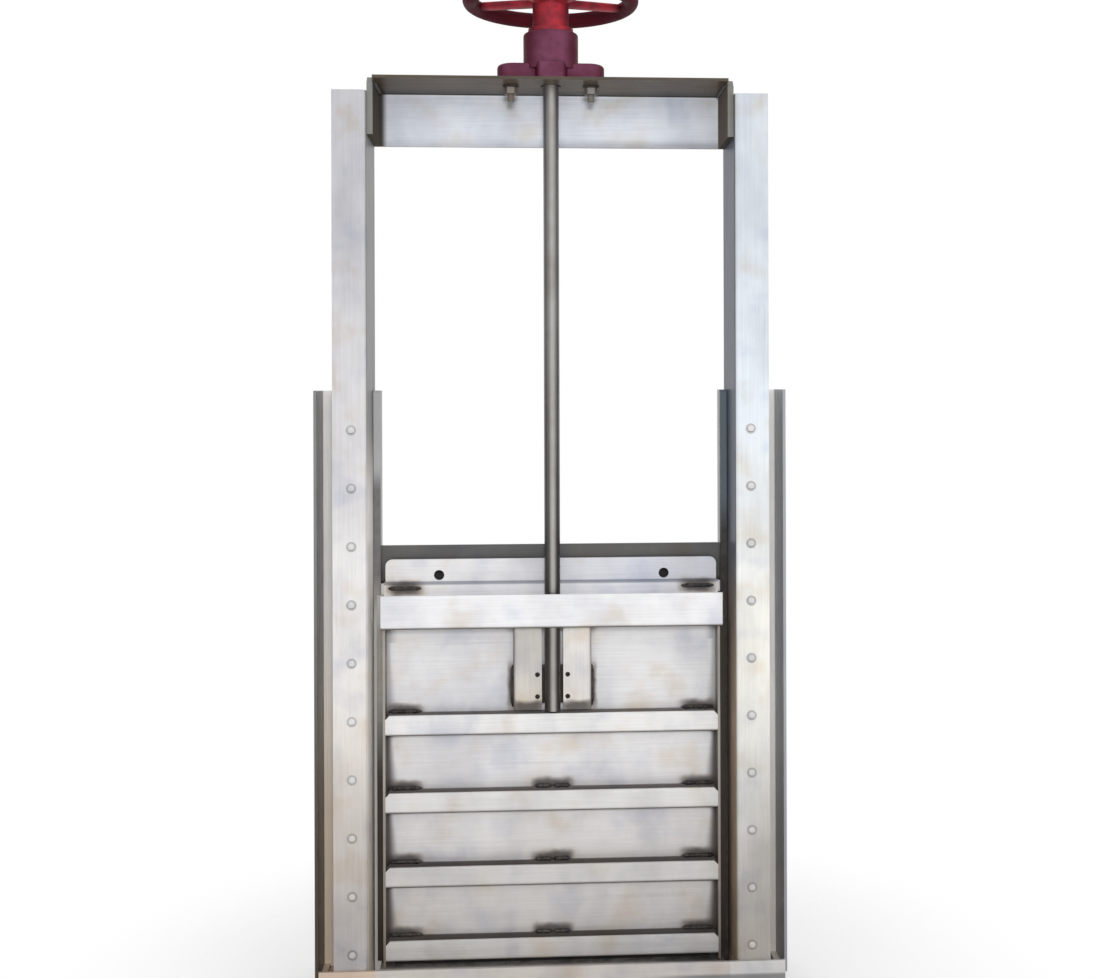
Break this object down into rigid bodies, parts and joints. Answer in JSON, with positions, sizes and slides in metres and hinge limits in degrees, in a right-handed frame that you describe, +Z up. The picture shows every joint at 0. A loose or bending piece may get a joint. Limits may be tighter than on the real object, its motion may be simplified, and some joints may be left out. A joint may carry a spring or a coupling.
{
  "type": "sluice gate",
  "caption": "Wall-mounted stainless sluice gate: ribbed leaf sliding in folded side frames, rising stem, top beam and red headstock with handwheel.",
  "frame": {"origin": "on the wall plane, in the middle, level with the underside of the feet and the sill", "axes": "+Z up, +Y into the wall, so the front is -Y, and +X to the right as seen from the front"},
  "size_m": [0.968, 0.36, 2.0763],
  "materials": {
    "stainless": "satin",
    "stem_steel": "polished",
    "red_paint": "gloss",
    "bronze": "machined",
    "rubber": "matte",
    "slide_plastic": "matte"
  },
  "bodies": {
    "frame": {"left_foot": "stainless", "left_upright": "stainless", "left_guide_channel": "stainless", "left_post_angle": "stainless", "left_slide_strip": "slide_plastic", "left_jamb": "stainless", "left_side_seal": "rubber", "left_beam_end": "stainless", "right_foot": "stainless", "right_upright": "stainless", "right_guide_channel": "stainless", "right_post_angle": "stainless", "right_slide_strip": "slide_plastic", "right_jamb": "stainless", "right_side_seal": "rubber", "right_beam_end": "stainless", "sill": "stainless", "sill_seal": "rubber", "lintel": "stainless", "top_seal": "rubber", "top_beam": "stainless", "headstock": "red_paint"},
    "leaf": {"left_leaf_edge": "stainless", "left_stem_lug": "stainless", "right_leaf_edge": "stainless", "right_stem_lug": "stainless", "leaf_plate": "stainless", "top_stiffener": "stainless", "stiffener_2": "stainless", "stiffener_3": "stainless", "stiffener_4": "stainless", "stiffener_5": "stainless", "stem_saddle": "stainless", "stem": "stem_steel"},
    "wheel": {"handwheel": "red_paint", "stem_nut": "bronze", "wheel_locknut": "stem_steel"}
  },
  "joints": [
    {"name": "leaf_lift", "type": "slide", "parent": "frame", "child": "leaf", "axis": [0, 0, 1], "range_m": [0, 0.8]},
    {"name": "wheel_turn", "type": "hinge", "parent": "frame", "child": "wheel", "pos_m": [0, -0.11, 2.007], "axis": [0, 0, 1], "continuous": true}
  ],
  "couplings": [
    {"joint": "wheel_turn", "follows": "leaf_lift", "rad_per_m": 1047.2}
  ]
}
